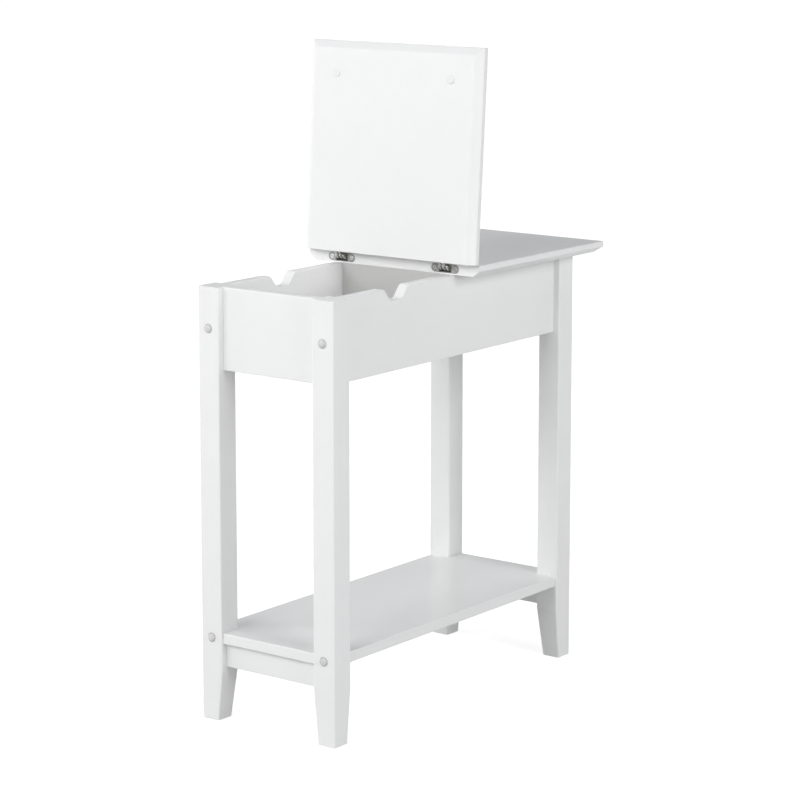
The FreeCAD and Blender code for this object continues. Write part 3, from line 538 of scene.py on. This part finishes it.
class Fitting:
    """Geometry Nodes tree that sets one turned shape, made from a profile, on each place."""

    def __init__(self, name, inputs):
        self.tree = bpy.data.node_groups.new(name, "GeometryNodeTree")
        self.tree.is_modifier = True
        self.ids = {}
        face = self.tree.interface
        face.new_socket("Geometry", in_out="INPUT", socket_type="NodeSocketGeometry")
        for label, value in inputs.items():
            kind = "NodeSocketInt" if isinstance(value, int) else "NodeSocketFloat"
            socket = face.new_socket(label, in_out="INPUT", socket_type=kind)
            socket.default_value = value
            self.ids[socket.identifier] = value
        face.new_socket("Geometry", in_out="OUTPUT", socket_type="NodeSocketGeometry")
        self.given = self.tree.nodes.new("NodeGroupInput").outputs
        self.result = self.tree.nodes.new("NodeGroupOutput")

    def curve(self, value, heights):
        """Piecewise straight curve through the heights at even steps from 0 to 1."""
        node = put(self.tree, "ShaderNodeFloatCurve", {"Value": value})
        mapping = node.mapping
        line = mapping.curves[0]
        last = len(heights) - 1
        while len(line.points) < len(heights):
            line.points.new(0.5, 0.5)
        for index, height in enumerate(heights):
            line.points[index].location = (index / last, height)
            line.points[index].handle_type = "VECTOR"
        mapping.update()
        return node.outputs[0]

    def turned(self, profile, radius, low, high, segments):
        """Closed turned solid: profile points are (share of radius, share from low to high)."""
        tree = self.tree
        # a flat grid is rolled round the axis, and its two ends and the points on the axis are merged
        grid = put(tree, "GeometryNodeMeshGrid", {"Size X": 1.0, "Size Y": 1.0,
                                                  "Vertices X": calc(tree, "ADD", segments, 1.0),
                                                  "Vertices Y": len(profile)})
        place = put(tree, "ShaderNodeSeparateXYZ", {0: put(tree, "GeometryNodeInputPosition").outputs[0]})
        round_share = calc(tree, "ADD", place.outputs[0], 0.5)
        along = calc(tree, "ADD", place.outputs[1], 0.5)
        angle = calc(tree, "MULTIPLY", round_share, 2 * math.pi)
        reach = calc(tree, "MULTIPLY", self.curve(along, [point[0] for point in profile]), radius)
        rise = calc(tree, "MULTIPLY", self.curve(along, [point[1] for point in profile]),
                    calc(tree, "SUBTRACT", high, low))
        spot = put(tree, "ShaderNodeCombineXYZ", {
            0: calc(tree, "MULTIPLY", calc(tree, "COSINE", angle), reach),
            1: calc(tree, "MULTIPLY", calc(tree, "SINE", angle), reach),
            2: calc(tree, "ADD", rise, low)})
        shape = put(tree, "GeometryNodeSetPosition", {"Geometry": grid.outputs["Mesh"],
                                                      "Position": spot.outputs[0]})
        closed = put(tree, "GeometryNodeMergeByDistance", {"Geometry": shape.outputs[0],
                                                           "Distance": TURNED_SEAM})
        return closed.outputs[0]

    def set_on_places(self, shape, finish):
        """Instance the shape on every place, facing along its normal, with a seeded turn."""
        tree = self.tree
        facing = put(tree, "GeometryNodeInputNamedAttribute", {"Name": "facing"},
                     data_type="FLOAT_VECTOR")
        aligned = put(tree, "FunctionNodeAlignRotationToVector", {"Vector": facing.outputs[0]}, axis="Z")
        # inputs 2 and 3 and output 1 are the node's sockets for plain numbers
        turn = put(tree, "FunctionNodeRandomValue", {2: -math.pi, 3: math.pi, "Seed": self.given["Seed"]},
                   data_type="FLOAT")
        spin = put(tree, "FunctionNodeAxisAngleToRotation", {"Axis": Z_AXIS, "Angle": turn.outputs[1]})
        both = put(tree, "FunctionNodeRotateRotation", {0: aligned.outputs[0], 1: spin.outputs[0]},
                   rotation_space="LOCAL")
        many = put(tree, "GeometryNodeInstanceOnPoints", {
            "Points": self.given["Geometry"], "Instance": shape, "Rotation": both.outputs[0]})
        real = put(tree, "GeometryNodeRealizeInstances", {"Geometry": many.outputs[0]})
        coated = put(tree, "GeometryNodeSetMaterial", {"Geometry": real.outputs[0], "Material": finish})
        tree.links.new(coated.outputs[0], self.result.inputs[0])

    def make(self, name, places, body, slot_name, replaced):
        """Plain mesh of the fitting on (point, facing) places, riding on one body."""
        mesh = bpy.data.meshes.new(name)
        mesh.from_pydata([tuple(point) for point, _ in places], [], [])
        facing = mesh.attributes.new("facing", "FLOAT_VECTOR", "POINT")
        facing.data.foreach_set("vector", [value for _, way in places for value in way])
        piece = bpy.data.objects.new(name, mesh)
        bpy.context.scene.collection.objects.link(piece)
        modifier = piece.modifiers.new(name, "NODES")
        modifier.node_group = self.tree
        for identifier, value in self.ids.items():
            modifier[identifier] = value
        flatten(piece)
        shape = bmesh.new()
        shape.from_mesh(piece.data)
        bmesh.ops.recalc_face_normals(shape, faces=shape.faces)
        shape.to_mesh(piece.data)
        shape.free()
        left_over = piece.data.attributes.get("facing")
        if left_over:
            piece.data.attributes.remove(left_over)
        piece.data.set_sharp_from_angle(angle=FITTING_SMOOTH)
        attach(piece, body)
        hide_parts(replaced)


def cap_fitting():
    """Push-in cap: plug, flat flange with a soft rim, shallow groove and a low dome."""
    fitting = Fitting("push_in_cap", {"Radius": CAP_RADIUS, "Proud": CAP_PROUD, "Plug": CAP_PLUG,
                                      "Segments": CAP_SEGMENTS, "Seed": TURN_SEED})
    given = fitting.given
    plug_low = calc(fitting.tree, "MULTIPLY", given["Plug"], -1.0)
    seat = CAP_PLUG / (CAP_PLUG + CAP_PROUD)

    def over(share):
        """Height in the profile, from a share of what stands proud of the leg."""
        return seat + (1 - seat) * share

    profile = [(0.0, 0.0), (0.80, 0.0), (0.83, 0.04), (0.83, seat), (0.97, seat), (1.0, over(0.03)),
               (1.0, over(0.20)), (0.975, over(0.29)), (0.93, over(0.33)), (0.865, over(0.33)),
               (0.845, over(0.31)), (0.83, over(0.34)), (0.80, over(0.47)), (0.74, over(0.60)),
               (0.66, over(0.71)), (0.56, over(0.81)), (0.44, over(0.89)), (0.30, over(0.95)),
               (0.15, over(0.988)), (0.0, 1.0)]
    shape = fitting.turned(profile, given["Radius"], plug_low, given["Proud"], given["Segments"])
    fitting.set_on_places(shape, plastics["cap_plastic"])
    return fitting


def screw_fitting():
    """Countersunk wood screw with a cross recess, cut from one turned solid."""
    fitting = Fitting("countersunk_screw", {"Head Radius": SCREW_HEAD_RADIUS, "Length": SCREW_LENGTH,
                                            "Recess Length": RECESS_LENGTH, "Recess Width": RECESS_WIDTH,
                                            "Recess Depth": RECESS_DEPTH, "Segments": SCREW_SEGMENTS,
                                            "Seed": TURN_SEED})
    tree, given = fitting.tree, fitting.given
    low = calc(tree, "MULTIPLY", given["Length"], -1.0)
    under_head = 1 - SCREW_HEAD_HEIGHT / SCREW_LENGTH
    profile = [(0.0, 0.0), (0.12, 0.02), (0.5, 0.18), (0.5, under_head), (0.94, 0.988), (1.0, 0.994),
               (0.985, 1.0), (0.0, 1.0)]
    solid = fitting.turned(profile, given["Head Radius"], low, 0.0, given["Segments"])
    cut = put(tree, "GeometryNodeMeshBoolean", {"Mesh 1": solid}, operation="DIFFERENCE", solver="EXACT")
    # the bars of the cross are centred on the head's face, so half their depth is clear of it
    depth = calc(tree, "MULTIPLY", given["Recess Depth"], 2.0)
    for along, across in (("Recess Length", "Recess Width"), ("Recess Width", "Recess Length")):
        size = put(tree, "ShaderNodeCombineXYZ", {0: given[along], 1: given[across], 2: depth})
        bar = put(tree, "GeometryNodeMeshCube", {"Size": size.outputs[0]})
        tree.links.new(bar.outputs["Mesh"], cut.inputs["Mesh 2"])
    fitting.set_on_places(cut.outputs["Mesh"], metals["screw_steel"])
    return fitting


def bumper_fitting():
    """Soft round bumper with a shoulder and a slightly crowned face."""
    fitting = Fitting("stick_on_bumper", {"Radius": BUMPER_RADIUS, "Thickness": BUMPER_THICKNESS,
                                          "Segments": BUMPER_SEGMENTS, "Seed": TURN_SEED})
    given = fitting.given
    profile = [(0.0, 0.0), (0.98, 0.0), (1.0, 0.06), (1.0, 0.45), (0.97, 0.62), (0.90, 0.78),
               (0.78, 0.90), (0.60, 0.96), (0.30, 0.99), (0.0, 1.0)]
    shape = fitting.turned(profile, given["Radius"], 0.0, given["Thickness"], given["Segments"])
    fitting.set_on_places(shape, plastics["bumper_plastic"])
    return fitting


def centre(low_high):
    return (low_high[0] + low_high[1]) / 2


def cap_places():
    """Middle of every cap on the leg's face, facing out of the leg."""
    panel_height = centre(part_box("side_panel_left")).z
    shelf_height = centre(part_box("shelf")).z
    places = []
    for end, way in (("front", -1), ("rear", 1)):
        for side in SIDES:
            low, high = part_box("leg_%s_%s" % (end, side))
            face_y = low.y if way < 0 else high.y
            panel_x = centre(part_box("side_panel_" + side)).x
            for x, height in ((panel_x, panel_height), (centre((low, high)).x, shelf_height)):
                places.append((Vector((x, face_y, height)), Y_AXIS * way))
    return places


swing_point = Vector(joints["lid_hinge"]["pos_m"])
# moves a place on the shut lid to where the open lid has it
open_lid = (Matrix.Translation(swing_point) @ Matrix.Rotation(-LID_OPEN, 4, "X")
            @ Matrix.Translation(-swing_point))
lid_turn = open_lid.to_3x3()


def leaf_screw_places(body):
    """Middle of every screw head in the leaves of one body."""
    places = []
    for side in SIDES:
        low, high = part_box("hinge_leaf_fixed_" + side)
        middle = centre((low, high))
        for step in (-0.5, 0.5):
            x = middle.x + step * LEAF_SCREW_SPACING
            if body == "table":
                places.append((Vector((x, low.y + SCREW_SINK, middle.z)), -Y_AXIS))
            else:
                # shut, the lid's leaf faces the fixed one across the hinge axis
                face_y = 2 * swing_point.y - low.y
                point = open_lid @ Vector((x, face_y - SCREW_SINK, middle.z))
                places.append((point, lid_turn @ Y_AXIS))
    return places


def bumper_places():
    """Where each bumper sticks to the underside of the open lid."""
    low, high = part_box("lid_bumpers")
    facing, along = lid_turn @ -Z_AXIS, lid_turn @ -Y_AXIS
    under = open_lid @ Vector((0, swing_point.y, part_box("leg_front_left")[1].z))
    # slide from the hinge along the lid's underside to the bumpers' height
    height = (low.z + high.z) / 2 - BUMPER_THICKNESS / 2 * facing.z
    under += along * ((height - under.z) / along.z)
    return [(Vector((x, under.y, under.z)), facing)
            for x in (low.x + BUMPER_RADIUS, high.x - BUMPER_RADIUS)]


cap_fitting().make("bolt_caps_turned", cap_places(), "table", "cap_plastic", "bolt_caps")
screws = screw_fitting()
screws.make("leaf_screws_fixed", leaf_screw_places("table"), "table", "screw_steel", "hinge_screws_fixed")
screws.make("leaf_screws_lid", leaf_screw_places("lid"), "lid", "screw_steel", "hinge_screws_lid")
bumper_fitting().make("lid_bumpers_turned", bumper_places(), "lid", "bumper_plastic", "lid_bumpers")


# ---------------------------------------------------------------- floor, light and camera

def seen_rays(tree):
    """1 for camera, glossy and transmission rays, else 0."""
    path = put(tree, "ShaderNodeLightPath").outputs
    seen = calc(tree, "MAXIMUM", path["Is Camera Ray"], path["Is Glossy Ray"])
    return calc(tree, "MAXIMUM", seen, path["Is Transmission Ray"])


def add_floor():
    """Pale floor that takes the shadow and glows towards white away from the table."""
    mesh = bpy.data.meshes.new("floor")
    shape = bmesh.new()
    bmesh.ops.create_circle(shape, cap_ends=True, segments=FLOOR_SIDES, radius=FLOOR_RADIUS)
    shape.to_mesh(mesh)
    shape.free()
    floor = bpy.data.objects.new("floor", mesh)
    bpy.context.scene.collection.objects.link(floor)
    material = bpy.data.materials.new("floor_white")
    material.use_nodes = True
    tree = material.node_tree
    tree.nodes.clear()
    where = put(tree, "ShaderNodeTexCoord").outputs["Object"]
    grain = noise(tree, where, FLOOR_GRAIN, detail=3.0)
    grey = spread(tree, grain, *MOST, FLOOR_GREY - FLOOR_UNEVEN, FLOOR_GREY + FLOOR_UNEVEN)
    matt = put(tree, "ShaderNodeBsdfDiffuse", {"Color": grey})
    far = put(tree, "ShaderNodeVectorMath", {0: where}, operation="LENGTH").outputs["Value"]
    level = spread(tree, far, *GLOW_SPREAD, FLOOR_GLOW_NEAR, FLOOR_GLOW_FAR)
    glow = put(tree, "ShaderNodeEmission", {"Color": (*BACKGROUND_WHITE, 1.0),
                                            "Strength": calc(tree, "MULTIPLY", seen_rays(tree), level)})
    both = put(tree, "ShaderNodeAddShader", {0: matt.outputs[0], 1: glow.outputs[0]})
    put(tree, "ShaderNodeOutputMaterial", {"Surface": both.outputs[0]})
    mesh.materials.append(material)


def add_world():
    """White to the camera, a studio that darkens overhead to gloss, and soft light to the rest."""
    world = bpy.data.worlds.new("studio")
    bpy.context.scene.world = world
    world.use_nodes = True
    tree = world.node_tree
    tree.nodes.clear()
    way = put(tree, "ShaderNodeSeparateXYZ", {0: put(tree, "ShaderNodeTexCoord").outputs["Generated"]})
    soft = blend_colour(tree, spread(tree, way.outputs[2], *WORLD_FADE), WORLD_HORIZON, WORLD_ZENITH)
    mirrored = blend_colour(tree, spread(tree, way.outputs[2], *MIRRORED_FADE), BACKGROUND_WHITE,
                            MIRRORED_ZENITH)
    path = put(tree, "ShaderNodeLightPath").outputs
    colour = blend_colour(tree, path["Is Glossy Ray"], soft, mirrored)
    plain = calc(tree, "MAXIMUM", path["Is Camera Ray"], path["Is Transmission Ray"])
    colour = blend_colour(tree, plain, colour, BACKGROUND_WHITE)
    back = put(tree, "ShaderNodeBackground", {"Color": colour, "Strength": 1.0})
    put(tree, "ShaderNodeOutputWorld", {"Surface": back.outputs[0]})


def add_lamp(name, azimuth, elevation, power, mirrored):
    """Soft square lamp that looks at the middle of the table."""
    data = bpy.data.lights.new(name, "AREA")
    data.shape = "SQUARE"
    data.size = LAMP_SIZE
    data.energy = power
    lamp = bpy.data.objects.new(name, data)
    turn, lift = math.radians(azimuth), math.radians(elevation)
    way = Vector((math.sin(turn) * math.cos(lift), -math.cos(turn) * math.cos(lift), math.sin(lift)))
    lamp.location = LAMP_TARGET + LAMP_DISTANCE * way
    lamp.rotation_euler = (LAMP_TARGET - lamp.location).to_track_quat("-Z", "Y").to_euler()
    lamp.visible_glossy = mirrored
    bpy.context.scene.collection.objects.link(lamp)


def add_camera():
    data = bpy.data.cameras.new("camera")
    data.sensor_width = CAMERA_SENSOR
    data.lens = CAMERA_LENS
    data.shift_y = CAMERA_SHIFT
    data.clip_end = CAMERA_REACH
    camera = bpy.data.objects.new("camera", data)
    camera.location = CAMERA_SPOT
    camera.rotation_euler = (math.radians(90 - CAMERA_DOWN), 0, math.radians(CAMERA_ROUND))
    bpy.context.scene.collection.objects.link(camera)
    bpy.context.scene.camera = camera


add_floor()
add_world()
for lamp_name, settings in LAMPS.items():
    add_lamp(lamp_name, *settings)
add_camera()
bpy.context.scene.view_settings.view_transform = "Standard"
